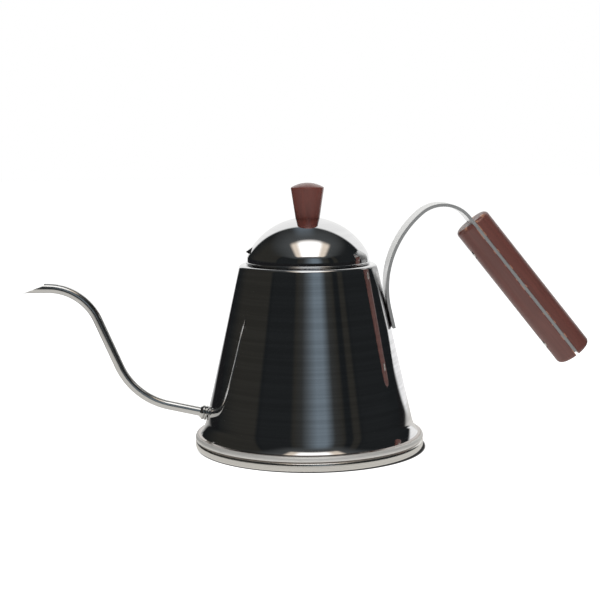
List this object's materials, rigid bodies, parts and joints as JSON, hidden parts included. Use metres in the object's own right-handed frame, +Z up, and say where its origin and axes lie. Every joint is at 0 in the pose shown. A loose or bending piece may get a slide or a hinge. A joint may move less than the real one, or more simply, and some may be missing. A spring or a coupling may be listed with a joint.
{
  "type": "gooseneck kettle",
  "caption": "Conical stovetop pour-over kettle with a slender S-curved gooseneck spout, a lift-off domed lid with a wooden knob, and an arched strap handle with a wooden grip.",
  "frame": {"origin": "centre of the base, on the resting plane", "axes": "+Z up along the kettle's axis, spout towards -X, handle towards +X"},
  "size_m": [0.3656, 0.1482, 0.1708],
  "materials": {
    "polished_steel": "mirror-polished stainless steel",
    "satin_steel": "satin stainless steel",
    "stained_wood": "reddish-brown stain, semi-gloss",
    "screw_steel": "plain stainless steel",
    "insert_brass": "turned brass"
  },
  "bodies": {
    "kettle": {"body_shell": "polished_steel", "bottom_pan": "satin_steel", "spout_tube": "polished_steel", "spout_collar": "polished_steel", "handle_strap": "satin_steel", "grip_upper_half": "stained_wood", "grip_lower_half": "stained_wood", "grip_screws": "screw_steel", "grip_inserts": "insert_brass"},
    "lid": {"lid_dome": "polished_steel", "lid_skirt": "polished_steel", "lid_knob": "stained_wood", "knob_insert": "insert_brass", "knob_screw": "screw_steel", "knob_washer": "screw_steel"}
  },
  "joints": [
    {"name": "lid_lift", "type": "slide", "parent": "kettle", "child": "lid", "axis": [0, 0, 1], "range_m": [0, 0.06]}
  ]
}
